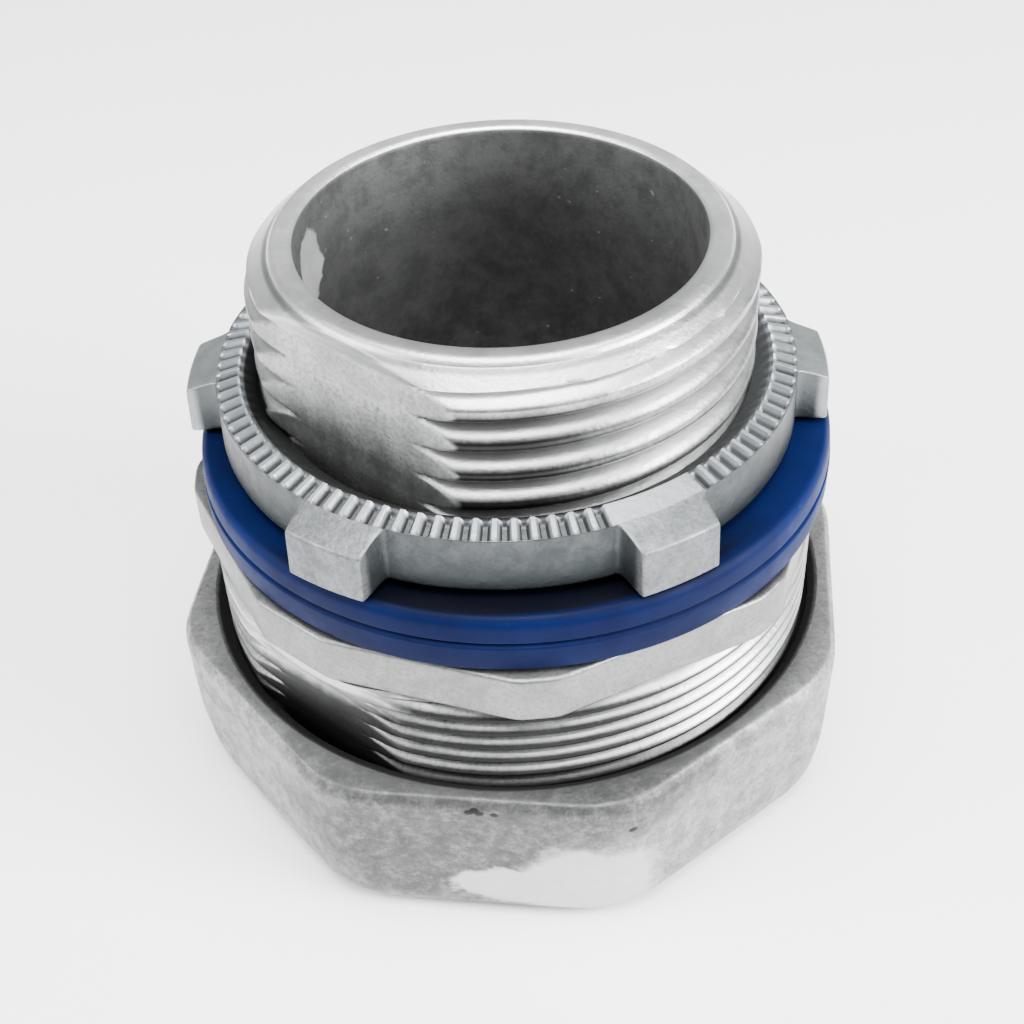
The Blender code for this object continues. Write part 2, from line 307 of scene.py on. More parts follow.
def parting_flat(angle, radius, distance):
    """Radius, cut by the two parting flats at a distance from the axis."""
    facing = np.abs(np.cos(np.radians(angle - PARTING_ANGLE)))
    return soft_least(radius, distance / np.maximum(facing, 0.1), hardness=320)


# ---------------------------------------------------------------- the pieces


def make_connector_body():
    """Die-cast body: threaded nipple, octagonal flange, gland thread, throat and socket."""
    lip_edge_radius = 14.86
    lip_edge = NIPPLE_TOP - 0.4
    thread_foot = FLANGE_TOP + 0.9
    locknut_reach = LOCKNUT_TOP - 1.0 + LOCKNUT_TURNS * NIPPLE_THREAD.pitch
    part_filling = LOCKNUT_CLEARANCE - 0.09
    full_filling = 2.0
    foot_radius = GLAND_THREAD.minor - 0.24
    relief = FLANGE_BOTTOM - 0.2
    seat_mouth_radius = 19.55
    seat_slope = math.tan(math.radians(24.8))
    seat_top = BODY_FOOT + (seat_mouth_radius - SOCKET_RADIUS) / seat_slope

    def nipple(angle, height):
        lead_in = lip_edge_radius + 1.2 * (lip_edge - height)
        run_out = NIPPLE_THREAD.minor + 1.5 * (height - thread_foot)
        from_front = from_nearest(angle, FRONT, 360.0)
        above_first = (height - NIPPLE_THREAD.root_height) / NIPPLE_THREAD.pitch - from_front / 360.0
        plain = smooth_step(above_first, 0.4, 0.6) * smooth_step(from_front, -175.0, -120.0)
        threaded = NIPPLE_THREAD.radius(angle, height)
        # The thread runs out into a plain band under the lip. As far up as the locknut climbs,
        # the groove is only part filled, which leaves room for the locknut's thread.
        above_reach = smooth_step(height, locknut_reach, locknut_reach + 0.2)
        filling = part_filling + full_filling * above_reach
        threaded = threaded + plain * np.minimum(NIPPLE_THREAD.major - threaded, filling)
        radius = np.minimum(np.minimum(threaded, lead_in), run_out)
        under_lip = 0.4 * smooth_step(height, lip_edge - 1.6, lip_edge)
        radius = parting_flat(angle, radius, NIPPLE_FLAT + under_lip)
        return radius + waves(angle, height, 5, 0.03)

    def gland(angle, height):
        lead_in = foot_radius + 1.2 * (height - BODY_FOOT)
        run_out = GLAND_THREAD.minor + 2.0 * (relief - height)
        radius = np.minimum(np.minimum(GLAND_THREAD.radius(angle, height), lead_in), run_out)
        radius = parting_flat(angle, radius, GLAND_THREAD_FLAT)
        # Under the flange the ridges and the flat melt into a web that is almost flush with it.
        off_web = np.abs(from_nearest(angle, PARTING_ANGLE, 180.0))
        web = smooth_step(height, relief - WEB_HEIGHT, relief - 0.5)
        web = web * (1.0 - smooth_step(off_web, 8.0, 26.0))
        return radius + (WEB_RADIUS - radius) * web

    body = Turned(even_angles())
    flange = soft_polygon(
        body.angle,
        [
            (FLANGE_FLAT, FLANGE_CORNER_ANGLE + CORNER_TO_FLAT, OCTAGON_SIDES),
            (FLANGE_CORNER, FLANGE_CORNER_ANGLE, OCTAGON_SIDES),
        ],
        hardness=260,
    )
    flange = parting_flat(body.angle, flange, FLANGE_PARTING_FLAT)
    body.run(
        (BORE_RADIUS, (NIPPLE_TOP + CONDUIT_STOP) / 2),
        (BORE_RADIUS, NIPPLE_TOP, 0.45),
        (lip_edge_radius - 0.2, NIPPLE_TOP, 0.45),
        (lip_edge_radius, lip_edge),
    )
    body.thread(NIPPLE_THREAD, nipple, lip_edge, thread_foot, rows_per_turn=20)
    nipple_root = nipple(body.angle, thread_foot)
    gland_root = gland(body.angle, relief)
    body.run(
        (nipple_root, thread_foot),
        (nipple_root, FLANGE_TOP, 0.3),
        (flange, FLANGE_TOP, 0.35),
        (flange, FLANGE_BOTTOM, 0.3),
        (gland_root, FLANGE_BOTTOM, 0.1),
        (gland_root, relief),
    )
    body.thread(GLAND_THREAD, gland, relief, BODY_FOOT, rows_per_turn=16)
    body.run(
        (gland(body.angle, BODY_FOOT), BODY_FOOT),
        (seat_mouth_radius, BODY_FOOT, 0.15),
        (SOCKET_RADIUS, seat_top, 0.4),
        (SOCKET_RADIUS, CONDUIT_STOP, 0.3),
        (BORE_RADIUS, CONDUIT_STOP, 0.4),
        (BORE_RADIUS, CONDUIT_STOP + 1.5),
    )
    piece = body.build("body_casting")
    place(piece, "connector_body", "fitting_body", "zinc_body", body_zinc())


def make_sealing_ring():
    """Blue moulded ring with one groove round it. It sits loose, a little to one side."""
    bore = NIPPLE_THREAD.major + 0.7
    shift = 0.42
    groove = 25.0
    rim = SEALING_RING_RADIUS
    ring = Turned(even_angles())
    ring.run(
        (bore, (SEALING_RING_BASE + SEALING_RING_TOP) / 2),
        (bore, SEALING_RING_TOP, 0.3),
        (rim - 0.55, SEALING_RING_TOP, 0.2),
        (rim - 0.12, SEALING_RING_TOP - 0.45, 0.3),
        (rim, groove + 0.22, 0.12),
        (rim - 0.32, groove, 0.06),
        (rim + 0.05, groove - 0.2, 0.12),
        (rim, SEALING_RING_BASE, 0.35),
        (bore, SEALING_RING_BASE, 0.3),
        (bore, SEALING_RING_BASE + 0.8),
    )
    piece = ring.build("blue_sealing_ring", shift=(shift, 0.0))
    place(piece, "sealing_ring", "seal_ring", "blue_sealing_ring", blue_plastic())


def locknut_angles():
    """Columns fine enough for the serrations, with more at the sides of the lugs."""
    even = even_angles(count=8 * SERRATION_COUNT)
    extra = []
    for lug in range(LUG_COUNT):
        centre = LUG_ANGLE + lug * 360.0 / LUG_COUNT
        for side in (-1, 1):
            extra += list(centre + side * np.linspace(LUG_HALF_WIDTH - 0.6, LUG_ROOT_HALF_WIDTH, 22))
    together = np.concatenate([even, extra])
    together = np.sort((together - FRONT) % 360.0)
    keep = np.diff(together, prepend=-1.0) > 0.05
    return FRONT + together[keep]


def lug_share(angle):
    """1 on a lug, falling steeply and then more slowly to 0 at its root."""
    away = np.abs(from_nearest(angle, LUG_ANGLE, 360.0 / LUG_COUNT))
    side = np.clip((away - LUG_HALF_WIDTH) / (LUG_ROOT_HALF_WIDTH - LUG_HALF_WIDTH), 0.0, 1.0)
    return (1 - side) ** 5 * (1 + 5 * side)


def serration(angle, across):
    """Depth of the notches. across is 0 at the inner edge of the band and 1 at the outer."""
    away = np.abs(from_nearest(angle, SERRATION_FIRST_NOTCH, 360.0 / SERRATION_COUNT))
    half = 180.0 / SERRATION_COUNT
    notch = 1.0 - smooth_step(away, 0.3 * half, 0.75 * half)
    along = smooth_step(across, -0.15, 0.15) * (1.0 - smooth_step(across, 0.8, 1.0))
    pad = np.abs(from_nearest(angle, BLANK_PAD_ANGLE, 360.0))
    plain = smooth_step(pad, BLANK_PAD_HALF_WIDTH, BLANK_PAD_HALF_WIDTH + 1.0)
    return SERRATION_DEPTH * notch * along * plain


def make_locknut():
    """Die-cast locknut: serrated upper face, six lugs, thread inside."""
    thread_radius = NIPPLE_THREAD.major + LOCKNUT_CLEARANCE
    thread_bottom = LOCKNUT_RING_BOTTOM + 0.3
    thread_top = LOCKNUT_TOP - 0.8
    lug_slope = 0.38
    side_lean = 0.12

    def inside(angle, height):
        radius = NIPPLE_THREAD.radius(angle, height) + LOCKNUT_CLEARANCE
        lead_in = np.minimum(height - thread_bottom, thread_top - height)
        return np.maximum(radius, thread_radius - 1.2 * lead_in)

    nut = Turned(locknut_angles())
    share = lug_share(nut.angle)
    outline = LOCKNUT_RING_RADIUS + share * (LUG_RADIUS - LOCKNUT_RING_RADIUS)
    outline = outline + waves(nut.angle, 0.0, 3, 0.05)
    bottom = LOCKNUT_RING_BOTTOM - share * (LOCKNUT_RING_BOTTOM - LUG_BOTTOM)
    band_outer = LOCKNUT_RING_RADIUS - 0.12
    band_width = band_outer - SERRATION_INNER_RADIUS

    nut.add(thread_radius, thread_top)
    nut.add(SERRATION_INNER_RADIUS - 0.25, LOCKNUT_TOP - 0.3)
    for across in np.linspace(0.0, 1.0, 15):
        radius = SERRATION_INNER_RADIUS + across * band_width
        depth = serration(nut.angle, across)
        nut.add(radius, LOCKNUT_TOP - LOCKNUT_FACE_SLOPE * across * band_width - depth)
    band_edge = LOCKNUT_TOP - LOCKNUT_FACE_SLOPE * band_width
    outer_top = band_edge - lug_slope * (outline - band_outer)
    nut.run(
        (band_outer + 0.02, band_edge - 0.01),
        (outline - side_lean, outer_top, 0.1 + 0.15 * share),
        (outline, bottom, 0.25),
        (LOCKNUT_RING_RADIUS - 0.7, bottom, 0.1),
        (LOCKNUT_RING_RADIUS - 0.9, LOCKNUT_RING_BOTTOM, 0.05),
        (thread_radius + 0.4, LOCKNUT_RING_BOTTOM, 0.05),
        (thread_radius, thread_bottom),
        spacing=0.8,
    )
    nut.thread(NIPPLE_THREAD, inside, thread_bottom, thread_top, rows_per_turn=14)
    piece = nut.build("lug_locknut")
    place(piece, "locknut", "lug_nut", "zinc_locknut", locknut_zinc())


def make_compression_nut():
    """Die-cast octagonal nut: thread inside, and a floor with a hole for the conduit."""
    thread_radius = GLAND_THREAD.major + GLAND_CLEARANCE
    thread_bottom = NUT_FLOOR + 1.6
    thread_top = NUT_TOP - 0.5
    hole_radius = SOCKET_RADIUS + 0.1
    flat_at_base = 22.85
    flat_flare = 0.66
    edge_drop = 0.7
    taper_height = 4.8
    foot_height = 1.3
    foot_corner = 24.1
    base_corner = 22.7

    def inside(angle, height):
        radius = GLAND_THREAD.radius(angle, height) + GLAND_CLEARANCE
        lead_in = np.minimum(height - thread_bottom, thread_top - height)
        return np.maximum(radius, thread_radius - 1.5 * lead_in)

    nut = Turned(even_angles(count=480))

    def outline(height, inset, corner):
        """Octagon that narrows a little downwards, with its corners cut by a circle."""
        share = (height - NUT_BASE) / (NUT_TOP - NUT_BASE)
        flat = flat_at_base + flat_flare * share - inset
        planes = [(flat, NUT_CORNER_ANGLE + CORNER_TO_FLAT, OCTAGON_SIDES)]
        octagon = soft_polygon(nut.angle, planes, hardness=110)
        walls = soft_least(octagon, corner, hardness=120)
        return walls + waves(nut.angle, height * 0.3, 11, 0.04)

    def wall(height, inset, corner, rounding):
        return outline(height, inset, corner), height, rounding

    nut.add(thread_radius, thread_top)
    nut.run(
        (NUT_MOUTH_RADIUS, NUT_TOP - 0.12),
        (NUT_MOUTH_RADIUS + 0.12, NUT_TOP, 0.08),
        wall(NUT_TOP - 0.06, 0.5, NUT_CORNER - 0.5, 0.2),
        wall(NUT_TOP - edge_drop, 0.02, NUT_CORNER, 0.3),
        wall(taper_height, 0.0, NUT_CORNER, 1.4),
        wall(foot_height, 0.0, foot_corner, 0.9),
        wall(NUT_BASE, 1.1, base_corner, 0.6),
        (hole_radius, NUT_BASE, 0.3),
        (hole_radius, NUT_FLOOR, 0.15),
        (thread_radius, NUT_FLOOR, 0.15),
        (thread_radius, thread_bottom),
        spacing=0.7,
    )
    nut.thread(GLAND_THREAD, inside, thread_bottom, thread_top, rows_per_turn=12)
    piece = nut.build("octagon_nut")
    place(piece, "compression_nut", "gland_nut", "zinc_nut", nut_zinc())


def make_slip_washer():
    """Thin steel washer under the seal."""
    inner = SOCKET_RADIUS + 0.1
    outer = 20.3
    middle = (WASHER_BASE + WASHER_TOP) / 2
    washer = Turned(even_angles())
    washer.run(
        (inner, middle),
        (inner, WASHER_TOP, 0.12),
        (outer, WASHER_TOP, 0.2),
        (outer, WASHER_BASE, 0.12),
        (inner, WASHER_BASE, 0.2),
        (inner, middle - 0.1),
    )
    piece = washer.build("washer_ring")
    place(piece, "slip_washer", "gland_pack", "steel_washer", steel("steel_washer", 0.6, 0.28))


def make_gland_seal():
    """Rubber ring with rounded corners and two shallow grip grooves in its bore."""
    inner = SOCKET_RADIUS
    outer = 20.1
    middle = (SEAL_BASE + SEAL_TOP) / 2
    groove = 0.12
    seal = Turned(even_angles())
    seal.run(
        (inner, middle),
        (inner + groove, middle + 0.25, 0.08),
        (inner, middle + 0.5, 0.08),
        (inner, SEAL_TOP, 0.4),
        (outer, SEAL_TOP, 0.55),
        (outer, SEAL_BASE, 0.55),
        (inner, SEAL_BASE, 0.4),
        (inner, middle - 0.5, 0.08),
        (inner + groove, middle - 0.25, 0.08),
        (inner, middle - 0.02),
    )
    piece = seal.build("rubber_seal")
    place(piece, "gland_seal", "gland_pack", "black_rubber", rubber())


def make_compression_ring():
    """Split steel ring. Its coned outside wedges into the body's seat."""
    piece = frame["nodes"]["compression_ring"]
    piece.data.materials.clear()
    piece.data.materials.append(steel("steel_split_ring", 0.5, 0.34))


# ---------------------------------------------------------------- materials


class Shading:
    """A Principled material and short names for the nodes that feed it."""

    def __init__(self, name, roughness, metallic):
        self.material = bpy.data.materials.new(name)
        self.material.use_nodes = True
        self.nodes = self.material.node_tree.nodes
        self.links = self.material.node_tree.links
        self.shader = self.nodes["Principled BSDF"]
        self.shader.inputs["Roughness"].default_value = roughness
        self.shader.inputs["Metallic"].default_value = metallic
        self.coordinates = self.nodes.new("ShaderNodeTexCoord")
        self.point = self.vector("MULTIPLY", self.coordinates.outputs["Object"], (1 / MM,) * 3)

    def node(self, kind, inputs, output, **settings):
        made = self.nodes.new(kind)
        for key, value in settings.items():
            setattr(made, key, value)
        for key, value in inputs.items():
            if isinstance(value, bpy.types.NodeSocket):
                self.links.new(value, made.inputs[key])
            else:
                made.inputs[key].default_value = value
        return made.outputs[output]

    def vector(self, operation, first, second):
        return self.node("ShaderNodeVectorMath", {0: first, 1: second}, 0, operation=operation)

    def math(self, operation, first, second=0.0):
        return self.node("ShaderNodeMath", {0: first, 1: second}, 0, operation=operation)

    def noise(self, size, detail=4.0, rough=0.55, stretch=(1, 1, 1), distort=0.0):
        """Noise whose blotches are about size millimetres wide."""
        place = self.vector("MULTIPLY", self.point, stretch)
        inputs = {
            "Vector": place,
            "Scale": 1 / size,
            "Detail": detail,
            "Roughness": rough,
            "Distortion": distort,
        }
        return self.node("ShaderNodeTexNoise", inputs, "Fac")

    def between(self, value, low, high, start=0.0, end=1.0):
        """Map low..high to start..end, and hold it there."""
        inputs = {"Value": value, "From Min": low, "From Max": high, "To Min": start, "To Max": end}
        return self.node("ShaderNodeMapRange", inputs, "Result", interpolation_type="SMOOTHSTEP")

    def mix(self, share, first, second):
        """first where share is 0, second where it is 1."""
        made = self.nodes.new("ShaderNodeMix")
        made.data_type = "RGBA"
        for index, value in ((0, share), (6, first), (7, second)):
            if isinstance(value, bpy.types.NodeSocket):
                self.links.new(value, made.inputs[index])
            elif index == 0:
                made.inputs[index].default_value = value
            else:
                made.inputs[index].default_value = (*value, 1.0)
        return made.outputs[2]

    def bump(self, height, depth, under=None):
        """Bump of a depth in millimetres, on top of another bump."""
        inputs = {"Height": height, "Distance": depth * MM}
        if under is not None:
            inputs["Normal"] = under
        return self.node("ShaderNodeBump", inputs, "Normal")

    def feed(self, **sockets):
        for key, value in sockets.items():
            self.links.new(value, self.shader.inputs[key.replace("_", " ")])

    def split(self, vector):
        parts = self.nodes.new("ShaderNodeSeparateXYZ")
        self.links.new(vector, parts.inputs[0])
        return parts.outputs

    def radius(self):
        x, y, _ = self.split(self.point)
        squares = self.math("ADD", self.math("MULTIPLY", x, x), self.math("MULTIPLY", y, y))
        return self.math("SQRT", squares)

    def height(self):
        return self.split(self.point)[2]

    def along(self, angle):
        """Distance from the axis, measured towards an angle."""
        turn = math.radians(angle)
        x, y, _ = self.split(self.point)
        return self.math(
            "ADD", self.math("MULTIPLY", x, math.cos(turn)), self.math("MULTIPLY", y, math.sin(turn))
        )

    def spot(self, angle, radius, height, wide, tall, ragged=0.5, edge=0.17):
        """1 inside an uneven oval round a point of a wall, fading over an edge to 0 outside it."""
        turn = math.radians(angle)
        centre = (radius * math.cos(turn), radius * math.sin(turn), height)
        away = self.vector("SUBTRACT", self.point, centre)
        away = self.vector("MULTIPLY", away, (1 / wide, 1 / wide, 1 / tall))
        distance = self.node("ShaderNodeVectorMath", {0: away}, "Value", operation="LENGTH")
        uneven = self.math("MULTIPLY", self.noise(min(wide, tall) * 0.8, detail=5.0), 2 * ragged)
        reach = self.math("ADD", distance, uneven)
        return self.between(reach, 0.95 + ragged + edge, 0.95 + ragged)

    def all_of(self, *shares):
        product = shares[0]
        for share in shares[1:]:
            product = self.math("MULTIPLY", product, share)
        return product

    def up(self):
        """How far a face of the piece looks up: 1 on a top face, 0 on a wall."""
        return self.split(self.coordinates.outputs["Normal"])[2]


def grey(value):
    """A cool grey, as zinc weathers to."""
    return (value * 0.985, value * 0.995, value)


def cast_zinc(name, dark, light, blotch, roughness, metallic, grain):
    """Cast zinc: blotches of two tones, specks, a fine grain and uneven gloss."""
    look = Shading(name, roughness, metallic)
    blotches = look.noise(blotch, detail=6.0, rough=0.62, distort=0.4)
    cloud = look.noise(blotch * 3.1, detail=3.0)
    specks = look.noise(0.4, detail=2.0)
    tone = look.mix(look.between(blotches, 0.34, 0.66), grey(dark), grey(light))
    tone = look.mix(look.between(cloud, 0.3, 0.7, 0.0, 0.5), tone, grey(light))
    speck_share = look.between(specks, 0.62, 0.78, 0.0, 0.6)
    tone = look.mix(speck_share, tone, grey(0.3 * dark))
    grit = look.noise(0.28, detail=3.0, rough=0.7)
    tone = look.mix(look.between(grit, 0.4, 0.68, 0.0, 0.5), tone, grey(0.4 * dark))
    gloss = look.between(blotches, 0.3, 0.7, roughness + 0.07, roughness - 0.07)
    normal = look.bump(blotches, 0.05)
    normal = look.bump(look.noise(grain, detail=3.0), 0.02, under=normal)
    look.feed(Base_Color=tone, Roughness=gloss, Normal=normal)
    return look, tone


def body_zinc():
    """Zinc with a painted highlight on its lip and the upper faces of the ridges, and painted shade in
    the threads and the bore.
    """
    look, tone = cast_zinc("zinc_body", 0.25, 0.42, 2.4, 0.36, 0.9, 0.28)
    radius = look.radius()
    height = look.height()
    up = look.up()
    outside = look.between(radius, BORE_RADIUS + 0.8, BORE_RADIUS + 1.1)
    in_nipple = look.between(height, FLANGE_TOP + 0.3, FLANGE_TOP + 0.6)
    in_gland = look.between(height, FLANGE_BOTTOM - 0.1, FLANGE_BOTTOM - 0.25)
    off_flat = look.between(
        look.math("ABSOLUTE", look.along(PARTING_ANGLE)), NIPPLE_FLAT - 0.02, NIPPLE_FLAT - 0.3
    )
    on_flat = look.between(off_flat, 0.0, 1.0, 1.0, 0.0)

    # Painted highlight: the lip and the upper sides of the ridges are painted pale, paler at the back
    # than at the front, with a dark line round the lip. A painted highlight also lies on the gland
    # thread at the right.
    on_lip = look.between(height, NIPPLE_TOP - 2.2, NIPPLE_TOP - 1.2)
    highlight_faces = look.math("MAXIMUM", on_lip, look.all_of(look.between(up, 0.6, 0.85), in_nipple))
    front_share = look.between(look.along(FRONT), -4.0, 12.0)
    highlight_tone = look.mix(front_share, grey(1.0), grey(0.5))
    tone = look.mix(look.all_of(highlight_faces, outside, 0.9), tone, highlight_tone)
    on_rim = look.between(height, NIPPLE_TOP - 0.35, NIPPLE_TOP - 0.1, 0.0, 0.9)
    tone = look.mix(on_rim, tone, highlight_tone)
    lip_line_radius = 15.05
    lip_line = look.math("ABSOLUTE", look.math("SUBTRACT", radius, lip_line_radius))
    on_line = look.all_of(
        look.between(lip_line, 0.3, 0.05), look.between(height, NIPPLE_TOP - 1.0, NIPPLE_TOP - 0.7)
    )
    tone = look.mix(look.math("MULTIPLY", on_line, 0.75), tone, grey(0.12))
    # Painted highlight on the gland thread's right side.
    gland_right_highlight = look.all_of(in_gland, look.between(look.along(FRONT + 55.0), 8.0, 20.0), 0.8)
    tone = look.mix(gland_right_highlight, tone, grey(0.75))

    # Painted shade darkens the lower side of each ridge, less of it at the right, where the light
    # falls.
    below_lip = look.between(height, NIPPLE_THREAD.root_height + 1.5, NIPPLE_THREAD.root_height + 0.9)
    shaded = look.between(up, 0.42, 0.8, 1.0, 0.0)
    right_share = look.between(look.along(FRONT + 75.0), 5.0, 15.0, 1.0, 0.35)
    ridge_shade = look.all_of(shaded, off_flat, below_lip, in_nipple, outside, right_share)
    tone = look.mix(look.math("MULTIPLY", ridge_shade, 0.98), tone, grey(0.012))

    # Faint tool streaks down the flats, with painted shade that darkens them towards the locknut.
    streaks = look.between(look.noise(1.3, detail=4.0, stretch=(1.0, 1.0, 0.15)), 0.3, 0.7, 0.55, 1.0)
    locknut_shade = look.between(height, NIPPLE_TOP - 3.5, LOCKNUT_TOP - 1.0, 0.0, 0.8)
    tone = look.mix(look.all_of(on_flat, in_nipple, outside, locknut_shade, streaks), tone, grey(0.13))

    # Painted shade makes fine dark lines between the gland thread's ridges, darkest at the front.
    # At the parting flat there is a smudge over them, and the web above it is paler.
    gland_shade = look.between(up, 0.2, 0.75, 0.95, 0.0)
    tone = look.mix(look.all_of(gland_shade, in_gland), tone, grey(0.03))
    # More painted shade on the gland thread at the front, except on faces that look up.
    gland_front_shade = look.between(look.along(FRONT - 2.0), 14.0, 20.0, 0.0, 0.9)
    off_top_shade = look.between(up, 0.66, 0.9, 1.0, 0.0)
    tone = look.mix(look.all_of(gland_front_shade, off_top_shade, in_gland), tone, grey(0.012))
    smudge = look.spot(FRONT - 46.0, GLAND_THREAD_FLAT, NUT_TOP + 1.2, 6.5, 3.2, edge=0.5)
    tone = look.mix(look.all_of(smudge, in_gland, 0.35), tone, grey(0.12))
    on_web = look.spot(FRONT - 48.0, WEB_RADIUS, FLANGE_BOTTOM - 0.8, 7.0, 2.2, ragged=0.3, edge=0.6)
    tone = look.mix(look.all_of(on_web, in_gland, 0.8), tone, grey(0.62))

    # The flange is a little duller than the threads.
    on_flange = look.all_of(
        look.between(height, FLANGE_BOTTOM - 0.1, FLANGE_BOTTOM),
        look.between(height, FLANGE_TOP + 0.1, FLANGE_TOP),
    )
    tone = look.mix(look.math("MULTIPLY", on_flange, 0.6), tone, grey(0.12))

    # Painted shade makes the threads nearly black down in both nuts.
    below_locknut = look.between(height, LOCKNUT_TOP - 1.0, LOCKNUT_TOP - 1.9)
    nut_gap_shade = look.all_of(
        outside,
        look.math(
            "MAXIMUM",
            look.between(height, NUT_TOP + 0.3, NUT_TOP - 0.5),
            look.all_of(in_nipple, off_flat, right_share, below_locknut),
        ),
    )
    tone = look.mix(look.math("MULTIPLY", nut_gap_shade, 0.9), tone, grey(0.02))

    # The bore is painted dark as shade and faintly mottled, the painted shade deepening further down,
    # with one paler patch as a painted reflection and a few pale flecks.
    in_bore = look.between(radius, BORE_RADIUS + 0.03, BORE_RADIUS + 0.12, 1.0, 0.0)
    mottle = look.noise(2.2, detail=6.0, rough=0.7)
    bore_tone_and_shade = look.mix(look.between(mottle, 0.3, 0.7), grey(0.05), grey(0.09))
    mouth = look.between(height, NIPPLE_TOP - 7.0, NIPPLE_TOP - 1.5, 0.0, 0.32)
    bore_tone_and_shade = look.mix(mouth, bore_tone_and_shade, look.mix(look.between(mottle, 0.35, 0.6), grey(0.14), grey(0.24)))
    # Painted reflection: one paler patch in the bore.
    patch = look.spot(FRONT - 104.0, BORE_RADIUS, NIPPLE_TOP - 4.6, 2.0, 2.6, ragged=0.4)
    bore_tone_and_shade = look.mix(look.math("MULTIPLY", patch, 0.85), bore_tone_and_shade, grey(0.5))
    flecks = look.between(look.noise(0.6, detail=2.0), 0.7, 0.78, 0.0, 0.6)
    bore_tone_and_shade = look.mix(flecks, bore_tone_and_shade, grey(0.3))
    tone = look.mix(in_bore, tone, bore_tone_and_shade)
    gloss = look.between(mottle, 0.3, 0.7, 0.4, 0.32)
    gloss = look.math("ADD", gloss, look.math("MULTIPLY", in_bore, 0.28))
    gloss = look.math("ADD", gloss, look.math("MULTIPLY", on_flat, 0.08))
    look.feed(Base_Color=tone, Roughness=gloss)
    return look.material


def locknut_zinc():
    """Pale blue-grey zinc, paler at the back as painted light, with painted shade on the ring's wall
    and the fillets beside the lugs.
    """
    look, tone = cast_zinc("zinc_locknut", 0.09, 0.2, 1.3, 0.46, 0.8, 0.3)
    tone = look.mix(0.35, tone, (0.11, 0.13, 0.14))
    # Painted light: the back and sides are paler than the front.
    back_light_share = look.between(look.along(FRONT), 14.0, 2.0, 0.0, 0.55)
    tone = look.mix(back_light_share, tone, (0.33, 0.35, 0.36))
    radius = look.radius()
    height = look.height()
    # Painted shade on the ring's wall and the fillets beside the lugs, deepening downwards.
    wall = look.between(look.up(), 0.1, 0.4, 1.0, 0.0)
    inner = look.between(radius, LUG_RADIUS - 0.4, LUG_RADIUS - 1.0)
    low = look.between(height, LOCKNUT_TOP - 0.7, LOCKNUT_RING_BOTTOM, 0.7, 1.0)
    tone = look.mix(look.all_of(wall, inner, low), tone, (0.022, 0.027, 0.029))
    # The serrated band is painted paler, and painted shade makes its notches nearly black.
    on_band = look.all_of(
        look.between(radius, SERRATION_INNER_RADIUS - 0.1, SERRATION_INNER_RADIUS + 0.1),
        look.between(radius, LOCKNUT_RING_RADIUS - 0.1, LOCKNUT_RING_RADIUS - 0.3),
    )
    beyond = look.math("SUBTRACT", radius, SERRATION_INNER_RADIUS)
    fall = look.math("MULTIPLY", beyond, LOCKNUT_FACE_SLOPE)
    notched = look.between(look.math("ADD", height, fall), LOCKNUT_TOP - 0.12, LOCKNUT_TOP - 0.42)
    tone = look.mix(look.all_of(on_band, 0.5), tone, (0.5, 0.54, 0.57))
    tone = look.mix(look.all_of(on_band, notched, 0.85), tone, grey(0.025))
    # Painted shade makes the inner chamfer nearly black, more on the left.
    inside = look.between(radius, SERRATION_INNER_RADIUS - 0.15, SERRATION_INNER_RADIUS - 0.35)
    left_share = look.between(look.along(FRONT - 60.0), -6.0, 6.0, 0.45, 0.95)
    tone = look.mix(look.math("MULTIPLY", inside, left_share), tone, grey(0.02))
    look.feed(Base_Color=tone)
    return look.material


